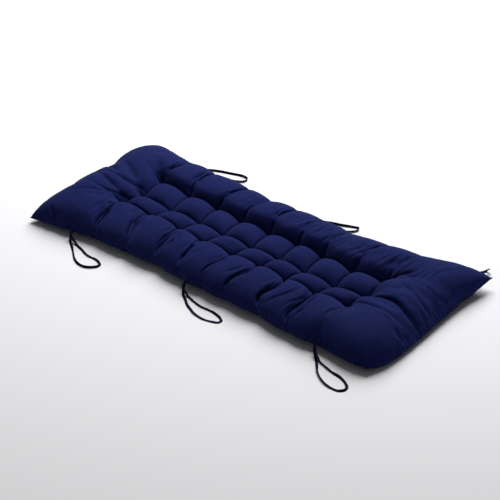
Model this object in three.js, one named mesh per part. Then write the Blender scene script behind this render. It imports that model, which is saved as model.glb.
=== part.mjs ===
import * as THREE from "three";

// A long tufted seat pad: two cut panels sewn round the edge, stuffed, and pinched together by
// three rows of nine sewn tacks, with six strap loops caught in the long seams.
// Millimetres, +Z up. The pad lies on its back on the plane z = 0, its length along X.

// Height of the stuffed crowns above the surface that the pad lies on
const crown = { front: 77, back: 74, middle: 60, leftEnd: 78, rightEnd: 76 };

// Height of the edge seam along each side
const seamHeight = { front: 21, back: 26 };

const tackThickness = 10; // both panels and the filling, where a tack pulls them together
const undersidePress = 16; // how far the underside would bulge below the surface if it could
const saddle = 0.55; // share of the crown that is left between two tacks
const creaseSharpness = 0.6; // under 1 for round puffs with narrow creases
const rollCrease = 11; // depth of the creases that run from the outer tacks to the long seams
const rollCreaseStart = 0.35; // share of the way to the seam at which those creases are full
const foldFade = 0.6; // share of its depth that an end fold loses on its way
const scallop = 5; // how far the seam bows out between two creases
const crownAt = { roll: 0.36, end: 0.46 }; // place of the highest line, from the tacks to the seam
const creaseReach = { roll: 0.2, end: 0.25 }; // share of the way to the seam that a tack line creases
const edgeFall = { bow: 2.2, blunt: 0.6 }; // shape of the slope from the crown down to the seam

// Where the crown changes from the middle bays' height to the rolls' and the ends', in tack rows
// and columns away from the middle tack
const crownChange = { rollFrom: 0.55, rollTo: 1.3, endFrom: 3.5, endTo: 4.3 };
const middleTack = { column: 5, row: 2 };

// The crosswise lines of tacks, from left to right: where each lies, how high its tacks are,
// and where its creases reach the front and the back seam
const tackColumns = [
  { x: -410, sway: 5, top: 40, frontX: -373, frontY: -213, backX: -413, backY: 184 },
  { x: -300, sway: 3, top: 38, frontX: -255, frontY: -208, backX: -327, backY: 184 },
  { x: -190, sway: 2, top: 37, frontX: -145, frontY: -204, backX: -179, backY: 177 },
  { x: -96, sway: -4, top: 36, frontX: -51, frontY: -210, backX: -86, backY: 168 },
  { x: 6, sway: -3, top: 34, frontX: 32, frontY: -211, backX: -5, backY: 177 },
  { x: 104, sway: 0, top: 33, frontX: 119, frontY: -211, backX: 101, backY: 178 },
  { x: 194, sway: -1, top: 32, frontX: 231, frontY: -211, backX: 195, backY: 176 },
  { x: 302, sway: -6, top: 30, frontX: 341, frontY: -220, backX: 318, backY: 191 },
  { x: 401, sway: 5, top: 29, frontX: 441, frontY: -216, backX: 417, backY: 205 },
];

// The lengthwise rows of tacks, from the front to the back
const tackRows = [
  { y: -77, lean: -2 },
  { y: -19, lean: 11 },
  { y: 55, lean: -1 },
];

// The short seams, from the front corner to the back corner; row counts the tack rows, and the
// corners are at 0 and 4
const leftSeam = [
  { row: 0, x: -604, y: -241, z: 13 },
  { row: 0.5, x: -607, y: -172, z: 24 },
  { row: 1, x: -616, y: -100, z: 29 },
  { row: 2, x: -613, y: 0, z: 31 },
  { row: 2.5, x: -606, y: 46, z: 30 },
  { row: 3, x: -617, y: 90, z: 30 },
  { row: 3.5, x: -614, y: 150, z: 28 },
  { row: 4, x: -590, y: 216, z: 20 },
];
const rightSeam = [
  { row: 0, x: 601, y: -215, z: 18 },
  { row: 0.5, x: 616, y: -160, z: 16 },
  { row: 1, x: 616, y: -100, z: 17 },
  { row: 2, x: 603, y: -5, z: 20 },
  { row: 3, x: 592, y: 70, z: 23 },
  { row: 3.5, x: 584, y: 150, z: 28 },
  { row: 4, x: 586, y: 245, z: 31 },
];

// The long seams beside the end panels; column counts the tack columns, with the corners at 0 and 10
const longSeamEnds = {
  front: [
    { column: 0.5, x: -492, y: -230, z: 18 },
    { column: 9.5, x: 530, y: -222, z: 20 },
  ],
  back: [
    { column: 0.5, x: -500, y: 200, z: 24 },
    { column: 9.5, x: 500, y: 230, z: 29 },
  ],
};

// Folds in the end panels that run from the outer tacks towards the seams and the corners
const endFolds = [
  { fromX: -405, fromY: -19, toX: -560, toY: 60, depth: 12, width: 17 },
  { fromX: -420, fromY: -62, toX: -560, toY: -40, depth: 9, width: 15 },
  { fromX: -430, fromY: -90, toX: -520, toY: -160, depth: 5, width: 14 },
  { fromX: -420, fromY: 66, toX: -500, toY: 120, depth: 6, width: 15 },
  { fromX: 415, fromY: -24, toX: 590, toY: -62, depth: 12, width: 15 },
  { fromX: 420, fromY: 60, toX: 560, toY: 108, depth: 9, width: 16 },
  { fromX: 440, fromY: -2, toX: 575, toY: 52, depth: 8, width: 14 },
];

// Number of steps that each stretch of the pad is drawn with
const steps = { bayLong: 6, bayWide: 6, end: 10, roll: 9 };

// Self-fabric straps sewn into loops. Each loop leaves the long seam and comes back beside itself.
const strap = { width: 7, thickness: 1.6, eased: 0.4, stepLength: 15 };

// The loops' routes, from the seam and back to it
const tieRoutes = {
  tie_front_left: [
    [-446, -223.9, 18], [-445.3, -229.5, 18], [-442, -237, 12], [-433, -246, 5.7],
    [-418, -255.5, 2.4], [-400, -267, 2.4], [-378, -283, 2.4], [-356, -297, 2.4],
    [-333, -305, 2.4], [-310, -305.5, 2.4], [-293, -297, 2.4], [-283, -285, 2.4],
    [-285, -274, 2.4], [-299, -266, 2.4], [-317, -262.5, 2.4], [-335, -262, 2.4],
    [-354, -260, 2.4], [-378, -253, 2.4], [-404, -246.5, 4.4], [-426, -241, 9.5],
    [-437.5, -238, 16.5], [-443.5, -233.5, 21.5], [-445.5, -229.6, 21.8], [-446, -223.9, 21],
  ],
  tie_front_middle: [
    [-19, -216.2, 19.8], [-18.3, -221.2, 19.8], [-15.5, -227.5, 14], [-9.5, -236.5, 7.2],
    [1.5, -244.5, 3.2], [17, -253.5, 2.4], [38, -266.5, 2.4], [64, -277, 2.4],
    [92, -284, 2.4], [118, -285.5, 2.4], [141, -281, 2.4], [157, -274, 2.4],
    [158, -265, 2.4], [146, -257.5, 2.4], [128, -252.5, 2.4], [98, -249, 2.4],
    [65, -249.3, 2.4], [37, -244.8, 2.4], [16.5, -239.5, 4.4], [-3, -236, 10.5],
    [-12.5, -231.5, 17.5], [-17, -226, 22.5], [-18.5, -221.2, 23.6], [-19, -216.2, 22.8],
  ],
  tie_front_right: [
    [437, -217, 19.8], [438, -222.5, 19.8], [443.5, -229.5, 14], [453, -237, 7.2],
    [465, -246.5, 3.2], [480, -259.5, 2.4], [499, -277, 2.4], [523, -291.5, 2.4],
    [549, -301.5, 2.4], [574, -305, 2.4], [594, -303, 2.4], [603, -294, 2.4],
    [599, -281, 2.4], [583, -270, 2.4], [561, -262.5, 2.4], [533, -258.5, 2.4],
    [504, -251.5, 2.4], [478.5, -245, 3.9], [461, -239, 9.5], [450, -233, 17],
    [444, -227, 22], [438.2, -222.6, 23.6], [437, -217, 22.8],
  ],
  tie_back_left: [
    [-455, 191.7, 24], [-454.3, 197.3, 24], [-453, 204, 17.5], [-448.5, 212, 8.5],
    [-439, 220.5, 3.9], [-422, 230, 2.4], [-402, 239.5, 2.4], [-380, 248, 2.4],
    [-355, 255.5, 2.4], [-332, 261.5, 2.4], [-312, 264.5, 2.4], [-296, 260, 2.4],
    [-294, 248, 2.4], [-306, 238.5, 2.4], [-328, 231, 2.4], [-356, 226, 2.4],
    [-384, 221, 2.4], [-408, 216, 4.9], [-428, 211.5, 9.5], [-441, 208, 17.5],
    [-450, 203.5, 25], [-454.5, 197.6, 28], [-455, 191.7, 27.2],
  ],
  tie_back_middle: [
    [-20, 178.7, 24.8], [-19.3, 184, 24.8], [-18, 191, 18.5], [-13, 200, 9.5],
    [-4, 209, 4.9], [9, 217, 2.4], [27, 224.5, 2.4], [48, 230, 2.4],
    [70, 235.5, 2.4], [91, 242.5, 2.4], [108, 250, 2.4], [121, 253, 2.4],
    [128, 244.5, 2.4], [121, 231.5, 2.4], [106, 221.5, 2.4], [85, 215, 2.4],
    [62, 211, 2.4], [40, 207, 3.2], [22, 202, 6.2], [6, 197.5, 12],
    [-7, 193.5, 19.5], [-15, 190, 26], [-19.5, 184.4, 28.6], [-20, 178.7, 27.8],
  ],
  tie_back_right: [
    [437, 211.6, 25.4], [437, 216.6, 25.4], [434.5, 224, 19], [431, 233, 11],
    [429, 243, 5.5], [435, 252.5, 3.7], [451, 258.5, 3.7], [471, 262, 3.7],
    [489, 264.5, 3.7], [504, 268, 3.7], [513.5, 275, 3.7], [518.1, 287.7, 3.7],
    [521.2, 293.2, 5.2], [526.4, 294.7, 8.8], [530.6, 291.3, 12.5], [531.4, 285, 14],
    [529.6, 275.5, 14.2], [524, 264.5, 14.5], [512, 254.5, 15], [496, 247.5, 16],
    [478, 242, 18], [463, 236.5, 21], [450.5, 230.5, 25], [442.5, 224.5, 28.4],
    [437.6, 217.6, 29.2], [437, 212.1, 28.4],
  ],
};

const cloth = new THREE.MeshStandardMaterial({ color: 0x1b2050, roughness: 0.88, metalness: 0 });

const lerp = THREE.MathUtils.lerp;
const smoothstep = THREE.MathUtils.smoothstep;

// The value of a field at a place along a table, on a smooth curve through its rows
function follow(rows, key, place, field) {
  const last = rows.length - 2;
  let i = 0;
  while (i < last && rows[i + 1][key] < place) i += 1;
  const slopeAt = (k) => {
    const before = rows[Math.max(k - 1, 0)];
    const after = rows[Math.min(k + 1, rows.length - 1)];
    return (after[field] - before[field]) / (after[key] - before[key]);
  };
  const span = rows[i + 1][key] - rows[i][key];
  const u = (place - rows[i][key]) / span;
  return (
    (1 + 2 * u) * (1 - u) ** 2 * rows[i][field] +
    u * (1 - u) ** 2 * span * slopeAt(i) +
    u ** 2 * (3 - 2 * u) * rows[i + 1][field] +
    u ** 2 * (u - 1) * span * slopeAt(i + 1)
  );
}

function longSeamRows(side, corner) {
  const [nearLeft, nearRight] = longSeamEnds[side];
  const middle = tackColumns.map((line, i) => ({
    column: i + 1,
    x: line[side + "X"],
    y: line[side + "Y"],
    z: seamHeight[side],
  }));
  return [
    { column: 0, ...leftSeam[corner ? leftSeam.length - 1 : 0] },
    nearLeft,
    ...middle,
    nearRight,
    { column: 10, ...rightSeam[corner ? rightSeam.length - 1 : 0] },
  ];
}

const frontSeam = longSeamRows("front", 0);
const backSeam = longSeamRows("back", 1);

function pointOn(rows, key, place) {
  return new THREE.Vector3(...["x", "y", "z"].map((field) => follow(rows, key, place, field)));
}

// A long seam bows outwards between the creases
function longSeamPoint(column, outward) {
  const point = pointOn(outward < 0 ? frontSeam : backSeam, "column", column);
  if (column > 1 && column < 9) point.y += outward * scallop * Math.abs(Math.sin(Math.PI * column));
  return point;
}

// The middle of the pad's thickness at a tack; between tacks it is worked out from both
function tackPoint(column, row) {
  const lower = Math.min(Math.floor(column), 8);
  const share = column - lower;
  const [a, b] = [tackColumns[lower - 1], tackColumns[lower]];
  const under = Math.min(Math.floor(row), 2);
  const [c, d] = [tackRows[under - 1], tackRows[under]];
  const part = row - under;
  return new THREE.Vector3(
    lerp(a.x, b.x, share) + lerp(c.lean, d.lean, part),
    lerp(c.y, d.y, part) + lerp(a.sway, b.sway, share),
    lerp(a.top, b.top, share) - tackThickness / 2,
  );
}

// A point on a whole tack row or a long seam, anywhere along it
function lengthwiseLine(column, row) {
  if (row === 0) return longSeamPoint(column, -1);
  if (row === 4) return longSeamPoint(column, 1);
  if (column < 1) return pointOn(leftSeam, "row", row).lerp(tackPoint(1, row), column);
  if (column > 9) return tackPoint(9, row).lerp(pointOn(rightSeam, "row", row), column - 9);
  return tackPoint(column, row);
}

// A point on a whole tack column or a short seam, anywhere across it
function crosswiseLine(column, row) {
  if (column === 0) return pointOn(leftSeam, "row", row);
  if (column === 10) return pointOn(rightSeam, "row", row);
  if (row < 1) return longSeamPoint(column, -1).lerp(tackPoint(column, 1), row);
  if (row > 3) return tackPoint(column, 3).lerp(longSeamPoint(column, 1), row - 3);
  return tackPoint(column, row);
}

// The middle of the pad's thickness: each bay is a patch between its four sides
function middlePoint(column, row) {
  const c = Math.min(Math.floor(column), 9);
  const r = Math.min(Math.floor(row), 3);
  const [u, v] = [column - c, row - r];
  const along = lengthwiseLine(column, r).lerp(lengthwiseLine(column, r + 1), v);
  const across = crosswiseLine(c, row).lerp(crosswiseLine(c + 1, row), u);
  const near = crosswiseLine(c, r).lerp(crosswiseLine(c + 1, r), u);
  const far = crosswiseLine(c, r + 1).lerp(crosswiseLine(c + 1, r + 1), u);
  return along.add(across).sub(near.lerp(far, v));
}

// How far a place is from the nearest line of tacks, as a puff's rise from 0 in the crease to 1
function rise(place, lines, reach) {
  let away = 2 * Math.abs(place - Math.round(place));
  if (place < 1) away = (1 - place) / reach;
  if (place > lines) away = (place - lines) / reach;
  return Math.sin((Math.PI / 2) * Math.min(away, 1)) ** creaseSharpness;
}

// Share of the way from the outermost tacks to the seam, 0 between the tacks
function outside(place, lines) {
  return Math.max(1 - place, place - lines, 0);
}

// The slope from the crown down to the seam, 1 inside the crown line and 0 at the seam
function fall(out, crownLine) {
  const q = Math.max(out - crownLine, 0) / (1 - crownLine);
  return Math.max(1 - q ** edgeFall.bow, 0) ** edgeFall.blunt;
}

function crownHeight(column, row) {
  const { rollFrom, rollTo, endFrom, endTo } = crownChange;
  const [along, across] = [column - middleTack.column, row - middleTack.row];
  const roll = across < 0 ? crown.front : crown.back;
  const end = along < 0 ? crown.leftEnd : crown.rightEnd;
  const height = lerp(crown.middle, roll, smoothstep(Math.abs(across), rollFrom, rollTo));
  return lerp(height, end, smoothstep(Math.abs(along), endFrom, endTo));
}

function foldDepth(x, y) {
  let depth = 0;
  for (const fold of endFolds) {
    const line = new THREE.Vector2(fold.toX - fold.fromX, fold.toY - fold.fromY);
    const from = new THREE.Vector2(x - fold.fromX, y - fold.fromY);
    const share = THREE.MathUtils.clamp(from.dot(line) / line.lengthSq(), 0, 1);
    const away = from.sub(line.multiplyScalar(share)).length() / fold.width;
    depth += fold.depth * Math.exp(-away * away) * (1 - foldFade * share);
  }
  return depth;
}

// The upper and the lower point of the pad at a place, given in tack columns and rows
function padPoints(column, row) {
  const middle = middlePoint(column, row);
  const place = THREE.MathUtils.clamp(column, 1, 9);
  const tackTop = follow(
    tackColumns.map((line, i) => ({ column: i + 1, top: line.top })),
    "column",
    place,
    "top",
  );
  const outLong = outside(column, 9);
  const outWide = outside(row, 3);
  const riseLong = rise(column, 9, creaseReach.end);
  const riseWide = rise(row, 3, creaseReach.roll);
  const fullLong = lerp(saddle, 1, smoothstep(outLong, 0, crownAt.end));
  const fullWide = lerp(saddle, 1, smoothstep(outWide, 0, crownAt.roll));
  const full = 1 - (1 - fullLong * riseLong) * (1 - fullWide * riseWide);
  const crease = rollCrease * (1 - riseLong) * smoothstep(outWide, 0, rollCreaseStart);
  const top = lerp(tackTop, crownHeight(column, row), full) - crease;
  const bottom = lerp(tackTop - tackThickness, -undersidePress, full);
  const edge = fall(outLong, crownAt.end) * fall(outWide, crownAt.roll);
  const fold = foldDepth(middle.x, middle.y) * edge;
  return {
    upper: new THREE.Vector3(middle.x, middle.y, lerp(middle.z, top, edge) - fold),
    lower: new THREE.Vector3(middle.x, middle.y, Math.max(lerp(middle.z, bottom, edge), 0)),
    onSeam: edge === 0,
  };
}

// Places across a run of bays, with steps that close up towards the seam at each end
function stations(bays, perBay, perEnd) {
  const places = [];
  for (let i = 0; i < perEnd; i += 1) places.push(1 - Math.cos((Math.PI / 2) * (i / perEnd)));
  for (let i = 0; i <= (bays - 2) * perBay; i += 1) places.push(1 + i / perBay);
  for (let i = perEnd - 1; i >= 0; i -= 1) {
    places.push(bays - 1 + Math.cos((Math.PI / 2) * (i / perEnd)));
  }
  return places;
}

function makeCushion() {
  const columns = stations(10, steps.bayLong, steps.end);
  const rows = stations(4, steps.bayWide, steps.roll);
  const positions = [];
  const add = (point) => positions.push(...point.toArray()) / 3 - 1;
  const grid = columns.map((column) =>
    rows.map((row) => {
      const { upper, lower, onSeam } = padPoints(column, row);
      const top = add(upper);
      return { top, bottom: onSeam ? top : add(lower), upper };
    }),
  );
  const faces = [];
  for (let i = 0; i + 1 < columns.length; i += 1) {
    for (let j = 0; j + 1 < rows.length; j += 1) {
      const [a, b, c, d] = [grid[i][j], grid[i + 1][j], grid[i + 1][j + 1], grid[i][j + 1]];
      // The quad is split along its shorter diagonal
      const first = a.upper.distanceTo(c.upper) < b.upper.distanceTo(d.upper);
      const halves = first ? [[a, b, c], [a, c, d]] : [[a, b, d], [b, c, d]];
      for (const [p, q, r] of halves) {
        faces.push(p.top, q.top, r.top);
        faces.push(p.bottom, r.bottom, q.bottom);
      }
    }
  }
  const geometry = new THREE.BufferGeometry();
  geometry.setAttribute("position", new THREE.Float32BufferAttribute(positions, 3));
  geometry.setIndex(faces);
  geometry.computeVertexNormals();
  return geometry;
}

// The strap's section: flat, with its four long edges eased
function strapSection() {
  const [w, h] = [strap.width / 2, strap.thickness / 2];
  const { eased } = strap;
  return new THREE.Shape([
    new THREE.Vector2(-h, -w + eased),
    new THREE.Vector2(-h + eased, -w),
    new THREE.Vector2(h - eased, -w),
    new THREE.Vector2(h, -w + eased),
    new THREE.Vector2(h, w - eased),
    new THREE.Vector2(h - eased, w),
    new THREE.Vector2(-h + eased, w),
    new THREE.Vector2(-h, w - eased),
  ]);
}

function makeTie(route) {
  const path = new THREE.CatmullRomCurve3(
    route.map(([x, y, z]) => new THREE.Vector3(x, y, z)),
    false,
    "centripetal",
  );
  return new THREE.ExtrudeGeometry(strapSection(), {
    steps: Math.round(path.getLength() / strap.stepLength),
    extrudePath: path,
    bevelEnabled: false,
  });
}

const pad = new THREE.Group();
const cushion = new THREE.Mesh(makeCushion(), cloth);
cushion.name = "cushion";
pad.add(cushion);
for (const [name, route] of Object.entries(tieRoutes)) {
  const tie = new THREE.Mesh(makeTie(route), cloth);
  tie.name = name;
  pad.add(tie);
}

export default pad;
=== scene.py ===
"""A long tufted seat pad of plain navy cloth, with six strap loops, on a pale studio floor."""

import math

import bpy
import numpy as np
from bpy.props import FloatProperty, FloatVectorProperty, IntProperty, PointerProperty
from mathutils import Matrix, Vector


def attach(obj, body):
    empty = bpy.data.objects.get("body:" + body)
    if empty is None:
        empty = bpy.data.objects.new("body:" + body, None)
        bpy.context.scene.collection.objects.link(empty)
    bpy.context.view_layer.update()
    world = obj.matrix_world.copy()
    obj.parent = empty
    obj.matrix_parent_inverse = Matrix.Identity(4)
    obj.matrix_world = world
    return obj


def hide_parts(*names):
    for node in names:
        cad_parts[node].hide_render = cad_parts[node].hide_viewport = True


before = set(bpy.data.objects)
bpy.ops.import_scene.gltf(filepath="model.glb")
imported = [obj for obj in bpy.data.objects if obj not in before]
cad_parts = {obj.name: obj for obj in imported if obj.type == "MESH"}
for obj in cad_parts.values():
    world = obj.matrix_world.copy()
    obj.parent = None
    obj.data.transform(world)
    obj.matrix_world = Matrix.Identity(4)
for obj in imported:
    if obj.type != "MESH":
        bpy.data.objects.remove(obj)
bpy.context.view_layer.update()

bl_info = {
    "name": "Tufted Seat Pad",
    "version": (1, 0, 0),
    "blender": (4, 5, 0),
    "location": "3D View > Sidebar > Pad",
    "description": "Makes a stuffed, tufted seat pad with tie loops, its cloth and its studio",
    "category": "Add Mesh",
}

MM = 0.001


def table(key, names, rows):
    """A table as one array for each column: the key as it is, the rest turned from mm to metres."""
    values = np.array(rows, float)
    made = {name: values[:, i] * MM for i, name in enumerate(names.split(), 1)}
    made[key] = values[:, 0]
    return made


# The crosswise lines of tacks, from left to right: where each lies, how far it sways, how high its
# tacks are, and where its creases reach the front and the back seam, in millimetres
tack_columns = table("column", "x sway top front_x front_y back_x back_y", [
    (1, -410, 5, 40, -373, -213, -413, 184),
    (2, -300, 3, 38, -255, -208, -327, 184),
    (3, -190, 2, 37, -145, -204, -179, 177),
    (4, -96, -4, 36, -51, -210, -86, 168),
    (5, 6, -3, 34, 32, -211, -5, 177),
    (6, 104, 0, 33, 119, -211, 101, 178),
    (7, 194, -1, 32, 231, -211, 195, 176),
    (8, 302, -6, 30, 341, -220, 318, 191),
    (9, 401, 5, 29, 441, -216, 417, 205),
])

# The lengthwise rows of tacks, from the front to the back
tack_rows = table("row", "y lean", [(1, -77, -2), (2, -19, 11), (3, 55, -1)])

# The short seams from the front corner to the back corner; the corners are at rows 0 and 4
left_seam = table("row", "x y z", [
    (0, -604, -241, 13), (0.5, -607, -172, 24), (1, -616, -100, 29), (2, -613, 0, 31),
    (2.5, -606, 46, 30), (3, -617, 90, 30), (3.5, -614, 150, 28), (4, -590, 216, 20),
])
right_seam = table("row", "x y z", [
    (0, 601, -215, 18), (0.5, 616, -160, 16), (1, 616, -100, 17), (2, 603, -5, 20),
    (3, 592, 70, 23), (3.5, 584, 150, 28), (4, 586, 245, 31),
])

# The long seams beside the end panels; the corners are at columns 0 and 10
front_seam_ends = [(0.5, -492, -230, 18), (9.5, 530, -222, 20)]
back_seam_ends = [(0.5, -500, 200, 24), (9.5, 500, 230, 29)]

# Folds in the end panels, from the outer tacks towards the seams and the corners
end_folds = [
    ((-405, -19), (-560, 60), 12, 17),
    ((-420, -62), (-560, -40), 9, 15),
    ((-430, -90), (-520, -160), 5, 14),
    ((-420, 66), (-500, 120), 6, 15),
    ((415, -24), (590, -62), 12, 15),
    ((420, 60), (560, 108), 9, 16),
    ((440, -2), (575, 52), 8, 14),
]

# The loops' routes from the seam and back to it, in millimetres; a point without a height is at
# the height of a strap that lies flat on the floor
tie_routes = {
    "tie_front_left": [
        (-446, -223.9, 18), (-445.3, -229.5, 18), (-442, -237, 12), (-433, -246, 5.7),
        (-418, -255.5), (-400, -267), (-378, -283), (-356, -297), (-333, -305), (-310, -305.5),
        (-293, -297), (-283, -285), (-285, -274), (-299, -266), (-317, -262.5), (-335, -262),
        (-354, -260), (-378, -253), (-404, -246.5, 4.4), (-426, -241, 9.5), (-437.5, -238, 16.5),
        (-443.5, -233.5, 21.5), (-445.5, -229.6, 21.8), (-446, -223.9, 21),
    ],
    "tie_front_middle": [
        (-19, -216.2, 19.8), (-18.3, -221.2, 19.8), (-15.5, -227.5, 14), (-9.5, -236.5, 7.2),
        (1.5, -244.5, 3.2), (17, -253.5), (38, -266.5), (64, -277), (92, -284), (118, -285.5),
        (141, -281), (157, -274), (158, -265), (146, -257.5), (128, -252.5), (98, -249),
        (65, -249.3), (37, -244.8), (16.5, -239.5, 4.4), (-3, -236, 10.5), (-12.5, -231.5, 17.5),
        (-17, -226, 22.5), (-18.5, -221.2, 23.6), (-19, -216.2, 22.8),
    ],
    "tie_front_right": [
        (437, -217, 19.8), (438, -222.5, 19.8), (443.5, -229.5, 14), (453, -237, 7.2),
        (465, -246.5, 3.2), (480, -259.5), (499, -277), (523, -291.5), (549, -301.5), (574, -305),
        (594, -303), (603, -294), (599, -281), (583, -270), (561, -262.5), (533, -258.5),
        (504, -251.5), (478.5, -245, 3.9), (461, -239, 9.5), (450, -233, 17), (444, -227, 22),
        (438.2, -222.6, 23.6), (437, -217, 22.8),
    ],
    "tie_back_left": [
        (-455, 191.7, 24), (-454.3, 197.3, 24), (-453, 204, 17.5), (-448.5, 212, 8.5),
        (-439, 220.5, 3.9), (-422, 230), (-402, 239.5), (-380, 248), (-355, 255.5), (-332, 261.5),
        (-312, 264.5), (-296, 260), (-294, 248), (-306, 238.5), (-328, 231), (-356, 226),
        (-384, 221), (-408, 216, 4.9), (-428, 211.5, 9.5), (-441, 208, 17.5), (-450, 203.5, 25),
        (-454.5, 197.6, 28), (-455, 191.7, 27.2),
    ],
    "tie_back_middle": [
        (-20, 178.7, 24.8), (-19.3, 184, 24.8), (-18, 191, 18.5), (-13, 200, 9.5), (-4, 209, 4.9),
        (9, 217), (27, 224.5), (48, 230), (70, 235.5), (91, 242.5), (108, 250), (121, 253),
        (128, 244.5), (121, 231.5), (106, 221.5), (85, 215), (62, 211), (40, 207, 3.2),
        (22, 202, 6.2), (6, 197.5, 12), (-7, 193.5, 19.5), (-15, 190, 26), (-19.5, 184.4, 28.6),
        (-20, 178.7, 27.8),
    ],
    "tie_back_right": [
        (437, 211.6, 25.4), (437, 216.6, 25.4), (434.5, 224, 19), (431, 233, 11), (429, 243, 5.5),
        (435, 252.5, 3.7), (451, 258.5, 3.7), (471, 262, 3.7), (489, 264.5, 3.7), (504, 268, 3.7),
        (513.5, 275, 3.7), (518.1, 287.7, 3.7), (521.2, 293.2, 5.2), (526.4, 294.7, 8.8),
        (530.6, 291.3, 12.5), (531.4, 285, 14), (529.6, 275.5, 14.2), (524, 264.5, 14.5),
        (512, 254.5, 15), (496, 247.5, 16), (478, 242, 18), (463, 236.5, 21), (450.5, 230.5, 25),
        (442.5, 224.5, 28.4), (437.6, 217.6, 29.2), (437, 212.1, 28.4),
    ],
}

# How far each loop's strap is turned on edge: shares of its length and degrees
tie_turns = {
    "tie_front_left": [
        (0, 0), (0.06, 10), (0.13, 15), (0.2, 50), (0.3, 50), (0.38, 45), (0.45, 60), (0.5, 58),
        (0.55, 20), (0.6, -15), (0.64, -20), (0.7, 25), (0.76, 5), (0.82, -15), (0.95, -5), (1, 0),
    ],
    "tie_front_middle": [
        (0, 0), (0.05, 5), (0.1, 15), (0.14, 20), (0.25, 20), (0.3, -25), (0.38, -10), (0.47, 10),
        (0.53, 10), (0.58, -20), (0.64, -20), (0.7, 20), (0.75, 20), (0.81, 0), (0.95, 10), (1, 0),
    ],
    "tie_front_right": [
        (0, 0), (0.14, 10), (0.19, -45), (0.26, -55), (0.33, -38), (0.4, -18), (0.45, 5), (0.5, 35),
        (0.56, 15), (0.61, 0), (0.66, -30), (0.7, -30), (0.77, 30), (0.82, 33), (0.93, 20), (1, 0),
    ],
    "tie_back_left": [(0, 0), (0.2, 60), (0.35, 40), (0.45, 75), (0.6, 60), (0.8, 30), (1, 0)],
    "tie_back_middle": [(0, 0), (0.2, 20), (0.35, 80), (0.45, 30), (0.55, 60), (0.8, 30), (1, 0)],
    "tie_back_right": [(0, 0), (0.3, 0), (0.38, -15), (0.48, 0), (0.56, 15), (0.7, 0), (1, 0)],
}

OUTER = {"column": (1, 9), "row": (1, 3)}  # the outermost tack lines
MIDDLE_TACK = (5, 2)
CLOTH_LAID = {  # cloth in each bay when it is laid flat, along the pad and across it
    "column": np.array([238, 119, 117, 103, 108, 106, 104, 118, 112, 240]) * MM,
    "row": np.array([178, 82, 90, 160]) * MM,
}
BAY = 0.105  # the usual distance between two lines of tacks
CROWDING = 0.5  # how much closer the grid's lines are at the tacks than half way between them
CURVE_STEPS = 200  # for measuring a curve's length

# The crown changes from the middle bays' height to the rolls' and the ends' between these places,
# in tack rows and columns away from the middle tack
ROLL_CHANGE = (0.55, 1.3)
END_CHANGE = (3.5, 4.3)
CORNER_CHANGE = (3.9, 4.75)
UNEVEN_WAVES = ((2.4, 1.7), (1.3, -2.1))  # of the filling, along and across

# Shares of the way from the outermost tacks to the seam: the highest line, and the reach of creases
ROLL_CROWN_AT = 0.36
END_CROWN_AT = 0.5
ROLL_REACH = 0.34
END_REACH = 0.3
SUNK_REACH = 0.2  # where the rolls no longer dip between two tacks

# The shape of the slope from the crown down to the seam
EDGE_BOW = 2.2
EDGE_BLUNT = 0.5
UNDER_BLUNT = 0.9  # the long sides' underside draws in sooner than the top

# How deep an end panel's fold is, at shares of its way from the tack
FOLD_RUN = ((0, 0.35, 1), (0.25, 1, 0.4))

# The creases over the rolls: how deep each is as a share of the deepest, from left to right
front_creases = [1.0, 1.0, 0.95, 0.55, 0.4, 0.5, 0.75, 0.85, 0.1]
back_creases = [0.8, 0.9, 0.6, 0.8, 0.75, 0.3, 0.15, 0.25, 0.04]

# A crease is a sharp cut in the middle of a soft hollow
SHARP_SHARE = 0.72
HOLLOW_WIDTH = 5  # times the cut's width

# How deep a crease is and how firmly it is held, at shares of the way from the tack to the seam
crease_run = {
    "out": np.array([0, 0.18, 0.4, 0.6, 0.8, 0.97, 1]),
    "depth": np.array([0, 0.2, 0.35, 0.9, 1, 0.5, 0]),
    "held": np.array([1, 1, 0.9, 0.8, 0.7, 0.4, 0]),
}

# How far the front creases swing to the right of a straight line, in tack columns, at shares of
# the way from the tack to the seam, and each crease's share of that swing, from left to right
crease_swing = {
    "out": np.array([0, 0.25, 0.5, 0.7, 0.85, 1]),
    "swing": np.array([0, 0.22, 0.12, -0.03, -0.1, 0]),
}
swing_shares = [0, -0.3, 0.6, 0.4, 1, 1, 1, 1, 0.5]

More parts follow.
